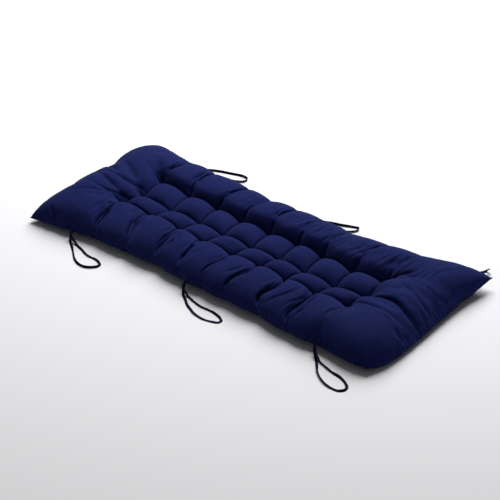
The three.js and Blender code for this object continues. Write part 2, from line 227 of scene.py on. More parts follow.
# Small folds pressed into the finished cover: depth and width in millimetres, then the tack columns
# and rows that each one runs through
small_folds = [
    (8, 4, [(3.1, 0.85), (3.33, 0.55), (3.2, 0.24)]),
    (8, 4, [(7.6, 0.75), (7.5, 0.5), (7.35, 0.14)]),
    (3, 5, [(1.15, 0.8), (1.12, 0.45), (1.05, 0.2)]),
    (3, 5, [(4.5, 0.8), (4.35, 0.5), (4.2, 0.25)]),
    (7, 4, [(8.2, 0.75), (8.3, 0.4), (8.25, 0.15)]),
    (5, 6, [(0.97, 2.19), (0.67, 1.93), (0.19, 1.74)]),
    (6, 4, [(0.15, 1.76), (0.5, 1.5), (0.92, 1.2)]),
    (4, 5, [(0.3, 0.62), (0.6, 0.85), (0.92, 1.06)]),
    (5, 3, [(0.8, 0.25), (0.82, 0.44), (0.89, 0.65), (1.2, 0.74)]),
    (4, 6, [(1.1, 1.65), (0.99, 1.31), (0.74, 0.99), (0.24, 1.07)]),
    (6, 4, [(0.27, 0.2), (0.35, 0.1), (0.43, 0.02)]),
    (6, 5, [(0.05, 2.25), (0.25, 2.19), (0.45, 2.07)]),
    (12, 4, [(0.98, 0.5), (0.96, 0.33), (0.95, 0.2), (0.96, 0.08), (0.98, 0.0)]),
    (3, 3, [(1.17, 0.3), (1.15, 0.12), (1.16, 0.03)]),
    (12, 4, [(1.95, 0.55), (1.88, 0.4), (1.86, 0.22), (1.9, 0.08), (1.94, 0.0)]),
    (3, 3, [(2.08, 0.3), (2.07, 0.15), (2.1, 0.03)]),
    (9, 4, [(3.05, 0.35), (3.1, 0.2), (3.13, 0.08), (3.17, 0.0)]),
    (6, 4, [(4.04, 0.42), (3.95, 0.25), (3.93, 0.1)]),
    (7, 4, [(6.03, 0.41), (6.0, 0.24), (5.95, 0.1), (5.91, 0.01)]),
    (9, 4, [(6.98, 0.45), (6.97, 0.3), (7.02, 0.14), (7.04, 0.01)]),
    (9, 3, [(9.1, 1.66), (9.3, 1.79), (9.5, 1.77), (9.75, 1.65), (10.1, 1.65)]),
    (9, 9, [(9.3, 1.84), (9.6, 1.72), (9.8, 1.62), (10.1, 1.62)]),
    (8, 4.5, [(8.98, 2.98), (9.12, 3.08), (9.25, 3.16), (9.38, 3.27)]),
    (7, 4, [(9.1, 1.05), (9.34, 1.1), (9.55, 1.19), (9.9, 1.26)]),
    (5, 6, [(9.35, 2.7), (9.6, 2.45), (9.85, 2.3), (10.1, 2.28)]),
]

# Depth and width of the sharp bottoms of the creases, in millimetres
ROLL_CREASE = (7, 2.7)
GROOVE = (1.2, 2.4)
GROOVE_IN = 0.0065  # from the seam to the groove beside it
PUFF_CREASE = (1.5, 2.6)
CREASE_PLACES = (-0.05, 0.25, 0.5, 0.8, 1.1)  # shares of the way from the tack to the seam
GROOVE_RUNS = {"row": (0.02, 5, 9.98), "column": (0.03, 2, 3.97)}  # places along the seam
FOLD_POINTS = np.array([0, 0.5, 1])  # shares of a fine fold's length
FOLD_ROUND = 1.5  # 2 for a round bottom, less for a sharp one
FOLD_FADE = 0.6  # under 1 for folds that end abruptly
FOLD_ENDS = (0.02, 0.98)  # beyond these shares of its length a fold fades no further
FOLD_REACH = 3  # a fold is felt this many of its widths away

CHANCE = 7  # the fine wrinkles fall where they fall, but in the same places every time

# The fine wrinkles that spread from an outer tack over its roll. Lengths and places are shares of
# the way to the seam and of the way to the next tack, depths and widths are in millimetres.
FAN_FOLDS = 20
FAN_SPREAD = 0.18
FAN_OPENS = (0.5, 0.7)  # shares of the spread at the tack, and added at the seam
FAN_STARTS = (0.08, 0.4)
FAN_LENGTHS = (0.2, 0.5)
FAN_SWAY = 0.012
FAN_DEPTHS = (1.4, 3.6)
FAN_WIDTHS = (2.2, 3.6)

# The slanting wrinkles of the back roll's right half, in tack columns and rows
ROLL_FOLDS = (5.3, 9.6)
ROLL_STARTS = (3.04, 3.25)
ROLL_LENGTHS = (0.25, 0.55)
ROLL_SLANT = 0.3
ROLL_SWAY = 0.015
ROLL_DEPTHS = (1.6, 3.8)
ROLL_WIDTHS = (2.8, 5.0)
ROLL_GAPS = (0.05, 0.14)

# The puckers along a seam, in metres but for their depths and widths
CORNER = 0.03  # no puckers nearer to the pad's corners than this
PUCKER_SWAY = 0.001
PUCKER_LENGTHS = (0.012, 0.045)
PUCKER_DEPTHS = (0.8, 2.6)
PUCKER_WIDTHS = (2.6, 4.0)
PUCKER_GAPS = (0.009, 0.018)

PUFF_HELD = 0.6  # how firmly the creases between the inner puffs are held
ROLL_SLACK = 0.4  # the rolls' spare cloth, from the puffs' 0 to the seam's 1
ROLL_SLACK_AT = 0.25  # share of the way to the seam where the rolls' spare cloth is reached
SEAM_SLACK_FROM = 0.55  # and where the spare cloth of the seam begins
UNDERSIDE_LAID = 1.1  # the lower panel lies this many pad widths beside the upper one

STITCH_RINGS = 7  # sections of a stitch
STITCH_SIDES = 6  # and their points
STITCH_SLANT = 0.6  # how much the two stitches of a tack cross
STITCH_ARCH = 1.5  # how high a stitch stands, in half thicknesses of its thread
STITCH_TAPER = 0.5  # how much thinner it is at its ends

STRAP_SQUARE = 0.45  # how square the strap's section is; 1 is an ellipse
ROUTE_STEPS = 24  # between two points of a strap's route
LYING = 2.4  # a route point's height in millimetres where the route gives none
FLOOR_REACH = 0.008  # below this height a strap lies on the floor

CAMERA_LENS = 172.8
CAMERA_ANGLES = (49.47, 30.67, -6.56)  # round the pad, above the floor and the picture's roll
CAMERA_PLACE = (3.9532, -3.3925, 3.1069)

FLOOR_SIZE = 12
WORLD_STRENGTH = 0.12
LIGHT_PLACE = (-0.85, 1.95, 2.6)
LIGHT_SIZE = 3.2
LIGHT_POWER = 205

NAP_SIZE = 0.0016  # the brushed nap's clumps
CLOUD_SIZE = 0.015  # soft patches where the nap lies another way
NAP_SHADE = 0.7  # how far a clump of nap turns the cloth to its worn colour
CLOUD_SHADE = (0.5, -0.1)  # the same for a patch, and what is taken off again
TWIST_SCALE = 160  # ridges 2.3 mm apart, in the wave texture's units


def lerp(a, b, share):
    return a + (b - a) * share


def smooth(value, low, high):
    share = np.clip((value - low) / (high - low), 0, 1)
    return share * share * (3 - 2 * share)


def hermite(t, start, out, end, into):
    """A smooth curve from start to end at shares t, with its slopes at both ends."""
    return (
        (1 + 2 * t) * (1 - t) ** 2 * start
        + t * (1 - t) ** 2 * out
        + t**2 * (3 - 2 * t) * end
        + t**2 * (t - 1) * into
    )


def follow(rows, key, place, fields="x y z"):
    """Points at places along a table, on a smooth curve through its rows."""
    keys = rows[key]
    values = np.stack([rows[name] for name in fields.split()], -1)
    last = len(keys) - 1
    before = np.maximum(np.arange(last + 1) - 1, 0)
    after = np.minimum(np.arange(last + 1) + 1, last)
    slopes = (values[after] - values[before]) / (keys[after] - keys[before])[:, None]
    i = np.clip(np.searchsorted(keys, place) - 1, 0, last - 1)
    span = (keys[i + 1] - keys[i])[..., None]
    share = (place - keys[i])[..., None] / span
    return hermite(share, values[i], span * slopes[i], values[i + 1], span * slopes[i + 1])


def between(rows, key, name, place):
    """One column of a table at places along it, on straight lines between its rows."""
    return np.interp(place, rows[key], rows[name])


def run_length(points):
    """How far along a line of points each one is."""
    return np.concatenate([[0], np.cumsum(np.linalg.norm(np.diff(points, axis=0), axis=1))])


def bay_ends(bays):
    """How far along the flat cloth each line of tacks is."""
    return np.concatenate([[0], np.cumsum(bays)])


def long_seam(side, ends, corner, height):
    """One long seam as a table, from the left corner to the right one."""
    x, y = tack_columns[side + "_x"], tack_columns[side + "_y"]
    middle = zip(tack_columns["column"], x / MM, y / MM, np.full_like(x, height / MM))
    left, right = (
        (place, *(seam[name][corner] / MM for name in "xyz"))
        for place, seam in ((0, left_seam), (10, right_seam))
    )
    return table("column", "x y z", [left, ends[0], *middle, ends[1], right])


def tack_point(shape, column, row):
    """The middle of the pad's thickness at or between tacks; outside them, that of the nearest."""
    x, sway, top = (between(tack_columns, "column", name, column) for name in ("x", "sway", "top"))
    y, lean = (between(tack_rows, "row", name, row) for name in ("y", "lean"))
    return np.stack([x + lean, y + sway, top - shape.tack_depth - shape.tack_thickness / 2], -1)


def pick(cases, otherwise):
    """Points chosen by the first case that holds at each place."""
    chosen = otherwise
    for test, points in reversed(cases):
        chosen = np.where(test[..., None], points, chosen)
    return chosen


def middle_surface(shape, column, row):
    """The middle of the pad's thickness: each bay is a patch between its four sides."""
    front = long_seam("front", front_seam_ends, 0, shape.seam_front)
    back = long_seam("back", back_seam_ends, -1, shape.seam_back)

    def seam(side, column):
        """A point of the front seam, side -1, or the back one, side 1, bowed between creases."""
        point = follow(front if side < 0 else back, "column", column)
        tufted = outside(column, "column") == 0
        bow = shape.scallop * np.abs(np.sin(np.pi * column))
        point[..., 1] += np.where(tufted, side * bow, 0)
        return point

    def on_line(column, row):
        """Points on the lines between bays, where the column or the row is a whole number."""
        left, right = follow(left_seam, "row", row), follow(right_seam, "row", row)
        near, far = seam(-1, column), seam(1, column)
        tack, u, v = tack_point(shape, column, row), column[..., None], row[..., None]
        cases = [
            (row == 0, near),
            (row == 4, far),
            (column == 0, left),
            (column == 10, right),
            (column < 1, lerp(left, tack, u)),
            (column > 9, lerp(tack, right, u - 9)),
            (row < 1, lerp(near, tack, v)),
            (row > 3, lerp(tack, far, v - 3)),
        ]
        return pick(cases, tack)

    c, r = np.minimum(np.floor(column), 9), np.minimum(np.floor(row), 3)
    u, v = (column - c)[..., None], (row - r)[..., None]
    along = lerp(on_line(column, r), on_line(column, r + 1), v)
    across = lerp(on_line(c, row), on_line(c + 1, row), u)
    near = lerp(on_line(c, r), on_line(c + 1, r), u)
    far = lerp(on_line(c, r + 1), on_line(c + 1, r + 1), u)
    return along + across - lerp(near, far, v)


def outside(place, key):
    """Share of the way from the outermost tacks to the seam, 0 between the tacks."""
    first, last = OUTER[key]
    return np.maximum(np.maximum(first - place, place - last), 0)


def rise(place, key, reach, shape):
    """How far a puff has risen from the nearest line of tacks, from 0 to 1."""
    first, last = OUTER[key]
    inner = np.sin(np.pi * np.abs(place - np.round(place))) ** shape.inner_sharpness
    beyond = np.sin(np.pi / 2 * np.minimum(outside(place, key) / reach, 1)) ** shape.sharpness
    return np.where((place < first) | (place > last), beyond, inner)


def fall(out, crown_line, blunt=EDGE_BLUNT):
    """The slope from the crown down to the seam, 1 inside the crown line and 0 at the seam."""
    q = np.maximum(out - crown_line, 0) / (1 - crown_line)
    return np.maximum(1 - q**EDGE_BOW, 0) ** blunt


def crown_height(shape, column, row):
    along, across = column - MIDDLE_TACK[0], row - MIDDLE_TACK[1]
    roll = np.where(across < 0, shape.crown_front, shape.crown_back)
    end = np.where(along < 0, shape.crown_left, shape.crown_right)
    inner = lerp(shape.crown_middle, end, smooth(np.abs(along), *END_CHANGE))
    outer = lerp(roll, end, smooth(np.abs(along), *CORNER_CHANGE))
    uneven = np.prod([np.sin(a * column + b * row) for a, b in UNEVEN_WAVES], axis=0)
    return lerp(inner, outer, smooth(np.abs(across), *ROLL_CHANGE)) + shape.uneven * uneven


def beside_line(at, a, b):
    """The nearest share of the way from a to b, and how far away that is."""
    share = np.clip((at - a) @ (b - a) / ((b - a) @ (b - a)), 0, 1)
    return share, np.linalg.norm(at - a - share[..., None] * (b - a), axis=-1)


def fold_depth(at):
    """Depth of the end panels' folds, each fading on its way from the tack."""
    depth = np.zeros(at.shape[:-1])
    for start, end, deep, width in end_folds:
        share, away = beside_line(at, np.array(start) * MM, np.array(end) * MM)
        depth += deep * MM * np.exp(-((away / (width * MM)) ** 2)) * np.interp(share, *FOLD_RUN)
    return depth


def crease_strength(column, row):
    """The strength of the nearest crease of the front or the back roll, from 0 to 1."""
    nearest = np.clip(np.round(column), *OUTER["column"]).astype(int) - OUTER["column"][0]
    front, back = np.array(front_creases)[nearest], np.array(back_creases)[nearest]
    return np.where(row < MIDDLE_TACK[1], front, back)


def crease_share(column, row, width):
    """How far a roll is drawn in by the creases over it, from 0 to 1 at a line of tacks."""
    away = np.abs(column - np.clip(np.round(column), *OUTER["column"])) * BAY
    hollow = np.exp(-((away / (HOLLOW_WIDTH * width)) ** 2))
    profile = SHARP_SHARE * np.exp(-away / width) + (1 - SHARP_SHARE) * hollow
    along = follow(crease_run, "out", outside(row, "row"), "depth")[..., 0]
    return profile * along * crease_strength(column, row)


def swung(column, row):
    """Where a column line really runs: over the front roll it swings off the straight."""
    swing = follow(crease_swing, "out", np.clip(1 - row, 0, 1), "swing")[..., 0]
    share = np.interp(column, np.arange(11), [0, *swing_shares, 0])
    return column + np.where(row < 1, swing, 0) * share


def pad_surface(shape, column, row):
    """The upper and the lower point of the pad at places given in tack columns and rows."""
    middle = middle_surface(shape, swung(column, row), row)
    tack_top = between(tack_columns, "column", "top", column) - shape.tack_depth
    out_long, out_wide = outside(column, "column"), outside(row, "row")
    rise_long = rise(column, "column", END_REACH, shape)
    rise_wide = rise(row, "row", ROLL_REACH, shape)
    sunk = (1 - smooth(out_long, 0, SUNK_REACH)) * (1 - smooth(out_wide, 0, SUNK_REACH))
    saddle = 1 - (1 - shape.saddle) * sunk
    both = rise_long * rise_wide
    full = lerp(both, rise_long + rise_wide - both, saddle)
    crease = shape.roll_crease * crease_share(column, row, shape.crease_width)
    top = lerp(tack_top, crown_height(shape, column, row), full) - crease
    bottom = lerp(tack_top - shape.tack_thickness, -shape.underside_press, full)
    end = fall(out_long, END_CROWN_AT)
    edge = end * fall(out_wide, ROLL_CROWN_AT)
    under = end * fall(out_wide, ROLL_CROWN_AT, UNDER_BLUNT)
    upper, lower = middle.copy(), middle.copy()
    upper[..., 2] = lerp(middle[..., 2], top, edge) - fold_depth(middle[..., :2]) * edge
    lower[..., 2] = np.maximum(lerp(middle[..., 2], bottom, under), 0)
    return upper, lower


def stations(bays, cell):
    """Places of the cloth's grid lines, in tack lines, and how far along the flat cloth each is."""
    places = [0.0]
    for i, bay in enumerate(bays):
        count = 2 * max(2, round(bay / cell / 2))
        even = (np.arange(count) + 1) / count
        places += list(i + even - CROWDING * np.sin(2 * np.pi * even) / (2 * np.pi))
    places = np.array(places)
    return places, np.interp(places, np.arange(len(bays) + 1), bay_ends(bays))


def even_out(places, low, curve):
    """Moves the places in the bay from low on until their points on a curve are evenly spaced."""
    fine = np.linspace(low, low + 1, CURVE_STEPS)
    length = run_length(curve(fine))
    inside = (places >= low) & (places <= low + 1)
    places[inside] = np.interp((places[inside] - low) * length[-1], length, fine)


class PadGrid:
    """The pad's two panels as one closed grid: arrays of points with a row for each grid line."""

    def __init__(self, shape, cell):
        columns, self.flat_x = stations(CLOTH_LAID["column"], cell)
        rows, self.flat_y = stations(CLOTH_LAID["row"], cell)
        tack_i = np.abs(columns[:, None] - tack_columns["column"]).argmin(0)
        tack_j = np.abs(rows[:, None] - tack_rows["row"]).argmin(0)
        self.tacks = np.ix_(tack_i, tack_j)
        for low in (0, 9):
            even_out(columns, low, lambda t: pad_surface(shape, t, t * 0 + 2.5)[0])
        for low in (0, 3):
            even_out(rows, low, lambda t: pad_surface(shape, t * 0 + 4.5, t)[0])
        self.column, self.row = np.meshgrid(columns, rows, indexing="ij")
        self.upper, self.lower = pad_surface(shape, self.column, self.row)
        self.seam = np.zeros(self.column.shape, bool)
        self.seam[[0, -1], :] = self.seam[:, [0, -1]] = True
        self.top = np.arange(self.column.size).reshape(self.column.shape)
        self.bottom = self.top.copy()
        self.bottom[~self.seam] = self.column.size + np.arange(np.count_nonzero(~self.seam))
        held = follow(crease_run, "out", outside(self.row, "row"), "held")[..., 0]
        inner = (self.row >= 1) & (self.row <= 3)
        firm = np.where(inner, PUFF_HELD, held * crease_strength(self.column, self.row))
        self.creased = np.zeros(self.column.shape)
        self.creased[tack_i] = firm[tack_i]
        self.creased[tack_i[0] : tack_i[-1] + 1, tack_j] = PUFF_HELD
        self.creased[self.tacks] = 1
        self.resting = (self.lower[..., 2] <= 0) & ~self.seam

    def points(self):
        return np.concatenate([self.upper.reshape(-1, 3), self.lower[~self.seam]])

    def take(self, points):
        """Puts the mesh's points back into the two panels' arrays."""
        self.upper, self.lower = points[self.top], points[self.bottom]

    def faces(self):
        upper, lower = (around_cells(index[..., None])[..., 0] for index in (self.top, self.bottom))
        return np.concatenate([upper, lower[:, ::-1]]).tolist()

    def uvs(self):
        """Each face corner's place on the flat cloth, in metres."""
        place = np.stack(np.meshgrid(self.flat_x, self.flat_y, indexing="ij"), -1)
        beside = (0, self.flat_y[-1] * UNDERSIDE_LAID)
        upper, lower = around_cells(place), around_cells(place + beside)
        return np.concatenate([upper, lower[:, ::-1]]).reshape(-1, 2)


def around_cells(grid):
    """The values at the four corners of each of a grid's cells, one cell a row."""
    around = [grid[:-1, :-1], grid[1:, :-1], grid[1:, 1:], grid[:-1, 1:]]
    return np.stack(around, 2).reshape(-1, 4, grid.shape[-1])


def add_object(name, data):
    made = bpy.data.objects.new(name, data)
    bpy.context.scene.collection.objects.link(made)
    return made


def new_piece(name, points, faces):
    mesh = bpy.data.meshes.new(name)
    mesh.from_pydata(np.asarray(points).tolist(), [], faces)
    mesh.polygons.foreach_set("use_smooth", [True] * len(mesh.polygons))
    mesh.update()
    return add_object(name, mesh)


def vectors(data, name):
    """One vector of each element of Blender data, as the rows of an array."""
    flat = np.empty(len(data) * 3, np.float32)
    data.foreach_get(name, flat)
    return flat.reshape(-1, 3)


def lay_flat(piece, places):
    """Gives each face corner its place on the flat cloth, in metres."""
    layer = piece.data.uv_layers.new(name="flat_cloth")
    layer.data.foreach_set("uv", places.astype(np.float32).ravel())


def set_points(mesh, points):
    """Moves the points of a mesh, and leaves none under the floor."""
    above = np.maximum(points, (-np.inf, -np.inf, 0))
    mesh.vertices.foreach_set("co", above.astype(np.float32).ravel())
    mesh.update()


def weigh(piece, name, weights):
    """A vertex group with these weights, to two decimals."""
    group = piece.vertex_groups.new(name=name)
    for index, weight in enumerate(np.round(weights, 2)):
        if weight > 0:
            group.add([index], weight, "REPLACE")
    return group.name


def inflate(piece, grid, cloth):
    """Lets slack cloth swell between its tacks and seams under the filling's pressure."""
    held, slack = np.zeros((2, len(piece.data.vertices)))
    held[grid.top] = grid.creased
    held[grid.top[grid.seam]] = 1
    held[grid.bottom[grid.resting]] = 1
    held[grid.bottom[grid.tacks]] = 1
    out = np.maximum(outside(grid.column, "column"), outside(grid.row, "row"))
    spare = lerp(smooth(out, SEAM_SLACK_FROM, 1), smooth(out, 0, ROLL_SLACK_AT), ROLL_SLACK)
    slack[grid.bottom] = slack[grid.top] = spare
    modifier = piece.modifiers.new("Cloth", "CLOTH")
    settings = modifier.settings
    settings.quality = cloth.quality
    settings.mass = cloth.vertex_mass
    settings.bending_stiffness = cloth.bending
    settings.use_pressure = True
    settings.uniform_pressure_force = cloth.pressure
    settings.effector_weights.gravity = 0
    settings.vertex_group_mass = weigh(piece, "held", held)
    settings.shrink_min = -cloth.slack
    settings.shrink_max = -cloth.seam_slack
    settings.vertex_group_shrink = weigh(piece, "slack", slack)
    modifier.collision_settings.use_collision = False
    modifier.collision_settings.use_self_collision = False
    modifier.point_cache.frame_end = cloth.frames
    scene = bpy.context.scene
    for number in range(1, cloth.frames + 1):
        scene.frame_set(number)
    swollen = piece.evaluated_get(bpy.context.evaluated_depsgraph_get())
    points = vectors(swollen.data.vertices, "co").astype(float)
    piece.modifiers.remove(modifier)
    piece.vertex_groups.clear()
    scene.frame_set(1)
    return points


def cap_moves(start, moved, most):
    """No point ends further from its start than a cap."""
    move = moved - start
    length = np.linalg.norm(move, axis=-1, keepdims=True)
    return start + move * np.minimum(1, most / np.maximum(length, 1e-9))


def flat_place(places):
    """Where places in tack columns and rows lie on the flat cloth, in metres."""
    ends = [bay_ends(CLOTH_LAID[key]) for key in ("column", "row")]
    laid = [np.interp(places[:, k], np.arange(len(run)), run) for k, run in enumerate(ends)]
    return np.stack(laid, -1)


def crease_folds():
    """The sharp bottoms of the creases over the rolls and between the inner puffs."""
    columns, rows = tack_columns["column"], tack_rows["row"]
    for column, front, back in zip(columns, front_creases, back_creases):
        yield ROLL_CREASE[0] * front, ROLL_CREASE[1], [(column, 1 - out) for out in CREASE_PLACES]
        yield ROLL_CREASE[0] * back, ROLL_CREASE[1], [(column, 3 + out) for out in CREASE_PLACES]
        for row in rows[:-1]:
            yield *PUFF_CREASE, [(column, row + part) for part in FOLD_POINTS]
    for row in rows:
        for column in columns[:-1]:
            yield *PUFF_CREASE, [(column + part, row) for part in FOLD_POINTS]


def fan_folds(draw):
    """Fine wrinkles over the rolls that spread out from the outer tacks."""
    for first, way, strengths in ((1, -1, front_creases), (3, 1, back_creases)):
        for column, strength in zip(tack_columns["column"], strengths):
            for _ in range(FAN_FOLDS):
                aside = draw.normal(0, FAN_SPREAD)
                near = draw.uniform(*FAN_STARTS)
                out = near + draw.uniform(*FAN_LENGTHS) * FOLD_POINTS
                columns = column + aside * (FAN_OPENS[0] + FAN_OPENS[1] * out)
                columns += draw.normal(0, FAN_SWAY, len(out))
                deep = draw.uniform(*FAN_DEPTHS) * (1 + strength) / 2
                yield deep, draw.uniform(*FAN_WIDTHS), np.stack([columns, first + way * out], -1)


def roll_folds(draw):
    """Fine slanting wrinkles across the right half of the back roll, which has no deep creases."""
    column, last = ROLL_FOLDS
    while column < last:
        near = draw.uniform(*ROLL_STARTS)
        out = near + draw.uniform(*ROLL_LENGTHS) * FOLD_POINTS
        columns = column + ROLL_SLANT * (out - near) + draw.normal(0, ROLL_SWAY, len(out))
        yield draw.uniform(*ROLL_DEPTHS), draw.uniform(*ROLL_WIDTHS), np.stack([columns, out], -1)
        column += draw.uniform(*ROLL_GAPS)


def seam_puckers(draw):
    """Short wrinkles square to the seam, where its stitches draw the cloth together."""
    for key, other in (("column", "row"), ("row", "column")):
        ends, bays = bay_ends(CLOTH_LAID[key]), CLOTH_LAID[other]
        for edge, way, bay in ((0, 1, bays[0]), (len(bays), -1, bays[-1])):
            laid = CORNER
            while laid < ends[-1] - CORNER:
                run = laid + draw.normal(0, PUCKER_SWAY, 2)
                along = np.interp(run, ends, np.arange(len(ends)))
                reach = edge + way * np.array([0, draw.uniform(*PUCKER_LENGTHS) / bay])
                route = np.stack([along, reach] if key == "column" else [reach, along], -1)
                yield draw.uniform(*PUCKER_DEPTHS), draw.uniform(*PUCKER_WIDTHS), route
                laid += draw.uniform(*PUCKER_GAPS)


def seam_grooves():
    """The shallow groove beside each seam, where the seam's turned-in edges end."""
    for key, runs in GROOVE_RUNS.items():
        bays = CLOTH_LAID[key]
        for place in (GROOVE_IN / bays[0], len(bays) - GROOVE_IN / bays[-1]):
            yield *GROOVE, [(run, place) if key == "row" else (place, run) for run in runs]


def press_folds(points, normals, places, folds):
    """Presses folds into the cover. They fade at both ends; puckers are deepest at the seam."""
    laid = flat_place(places)
    depth = np.zeros(len(points))
    for deep, width, route in folds:
        line = flat_place(np.asarray(route, float))
        reach = FOLD_REACH * width * MM
        near = np.all((laid > line.min(0) - reach) & (laid < line.max(0) + reach), axis=1)
        at = laid[near]
        nearest, share = np.full(len(at), np.inf), np.zeros(len(at))
        for k, (a, b) in enumerate(zip(line, line[1:])):
            along, away = beside_line(at, a, b)
            nearer = away < nearest
            nearest[nearer] = away[nearer]
            share[nearer] = (k + along[nearer]) / (len(line) - 1)
        pucker = len(line) == 2
        fade = 1 - share if pucker else np.sin(np.pi * np.clip(share, *FOLD_ENDS)) ** FOLD_FADE
        depth[near] += deep * MM * fade * np.exp(-((nearest / (width * MM)) ** FOLD_ROUND))
    return points - normals * depth[:, None]


def swell(piece, grid, cloth):
    """Inflates the pad, with a cap on how far a point moves; its seam stays where it is."""
    upper, lower = grid.upper, grid.lower
    grid.take(inflate(piece, grid, cloth))
    grid.upper = cap_moves(upper, grid.upper, cloth.most_move)
    grid.lower = cap_moves(lower, grid.lower, cloth.most_move)
    grid.upper[grid.seam] = grid.lower[grid.seam] = upper[grid.seam]


def subdivide(piece):
    finer = piece.modifiers.new("Finer", "SUBSURF")
    finer.levels = 1
    bpy.context.view_layer.objects.active = piece
    bpy.ops.object.modifier_apply(modifier=finer.name)


def make_cushion(shape, cloth):
    """The pad's cover, and the places of its tacks with the way that the cloth faces there."""
    grid = PadGrid(shape, cloth.cell)
    piece = new_piece("cushion_cover", grid.points(), grid.faces())
    lay_flat(piece, grid.uvs())
    swell(piece, grid, cloth)
    set_points(piece.data, grid.points())
    # The tack column and row of each point, and 1 on the upper panel, go through the subdivision
    where = np.stack([grid.column, grid.row, np.ones_like(grid.row)], -1)
    where = np.concatenate([where.reshape(-1, 3), (where * (1, 1, 0))[~grid.seam]])
    kept = piece.data.attributes.new("tack_place", "FLOAT_VECTOR", "POINT")
    kept.data.foreach_set("vector", where.ravel())
    subdivide(piece)
    kept = piece.data.attributes["tack_place"]
    where = vectors(kept.data, "vector")
    piece.data.attributes.remove(kept)
    points = vectors(piece.data.vertices, "co").astype(float)
    normals = vectors(piece.data.vertex_normals, "vector")
    draw = np.random.default_rng(CHANCE)
    puckers = [*seam_puckers(draw), *seam_grooves()]
    folds = [*crease_folds(), *small_folds, *fan_folds(draw), *roll_folds(draw), *puckers]
    upper = where[:, 2] > 0.5
    for side, pressed in ((upper, folds), (~upper, puckers)):
        points[side] = press_folds(points[side], normals[side], where[side, :2], pressed)
    set_points(piece.data, points)
    return piece, [spot for side in (upper, ~upper) for spot in tack_spots(piece, where, side)]


def tack_spots(piece, where, side):
    """The cover's point and its normal at each tack, on one of its sides."""
    chosen = np.nonzero(side)[0]
    for column in tack_columns["column"]:
        for row in tack_rows["row"]:
            away = np.hypot(where[chosen, 0] - column, where[chosen, 1] - row)
            vertex = piece.data.vertices[int(chosen[np.argmin(away)])]
            yield np.array(vertex.co), np.array(vertex.normal)


def tube_faces(rings, sides):
    """The faces of a closed tube whose points are numbered ring after ring."""
    index = np.arange(rings * sides).reshape(rings, sides)
    around = np.roll(index, -1, axis=1)
    walls = np.stack([index[:-1], around[:-1], around[1:], index[1:]], -1).reshape(-1, 4)
    return [*walls.tolist(), index[0][::-1].tolist(), index[-1].tolist()]


def make_stitches(spots, stitch):
    """Two crossed stitches of thread over each tack."""
    t = np.linspace(-1, 1, STITCH_RINGS)[:, None, None]
    angle = np.linspace(0, 2 * np.pi, STITCH_SIDES, endpoint=False)[:, None]
    thick = stitch.thread * (1 - STITCH_TAPER * t**4)
    points = []
    for spot, normal in spots:
        for slant in (-STITCH_SLANT, STITCH_SLANT):
            along = np.cross((slant, 1, 0), normal)
            along /= np.linalg.norm(along)
            ring = np.cos(angle) * np.cross(normal, along) + np.sin(angle) * normal
            arch = normal * (stitch.thread * STITCH_ARCH * (1 - t**2))
            points.append(spot + along * (stitch.length * t) + arch + ring * thick)
    one = tube_faces(STITCH_RINGS, STITCH_SIDES)
    firsts = range(0, len(points) * STITCH_RINGS * STITCH_SIDES, STITCH_RINGS * STITCH_SIDES)
    faces = [[first + i for i in face] for first in firsts for face in one]
    return new_piece("tack_stitches", np.concatenate(points).reshape(-1, 3), faces)


def smooth_route(route, step):
    """Points a step apart along the smooth curve through a route's points, in metres."""
    points = np.array([(*point, LYING)[:3] for point in route]) * MM
    points = np.concatenate([[2 * points[0] - points[1]], points, [2 * points[-1] - points[-2]]])
    gaps = np.sqrt(np.linalg.norm(np.diff(points, axis=0), axis=1))[:, None]
    t = np.linspace(0, 1, ROUTE_STEPS, endpoint=False)[:, None]
    pieces = []
    for i in range(1, len(points) - 2):
        a, b, c, d = points[i - 1 : i + 3]
        before, here, after = gaps[i - 1 : i + 2]
        out = ((b - a) / before - (c - a) / (before + here) + (c - b) / here) * here
        into = ((c - b) / here - (d - b) / (here + after) + (d - c) / after) * here
        pieces.append(hermite(t, b, out, c, into))
    line = np.concatenate([*pieces, points[-2:-1]])
    length = run_length(line)
    even = np.linspace(0, length[-1], round(length[-1] / step) + 1)
    return np.stack([np.interp(even, length, line[:, k]) for k in range(3)], -1)


def turned_frame(path, turns):
    """Each point's directions across the strap and out of its face, turned about the path."""
    along = np.gradient(path, axis=0)
    along /= np.linalg.norm(along, axis=1, keepdims=True)
    side = np.cross([0, 0, 1], along)
    side /= np.linalg.norm(side, axis=1, keepdims=True)
    up = np.cross(along, side)
    cos, sin = np.cos(turns)[:, None], np.sin(turns)[:, None]
    return side * cos + up * sin, up * cos - side * sin


def strap_turns(name, count):
    """How far the strap is turned on edge at each step, from its table of shares and degrees."""
    shares, degrees = np.array(tie_turns[name], float).T
    share = np.linspace(0, 1, count)
    i = np.clip(np.searchsorted(shares, share) - 1, 0, len(shares) - 2)
    return np.radians(lerp(degrees[i], degrees[i + 1], smooth(share, shares[i], shares[i + 1])))


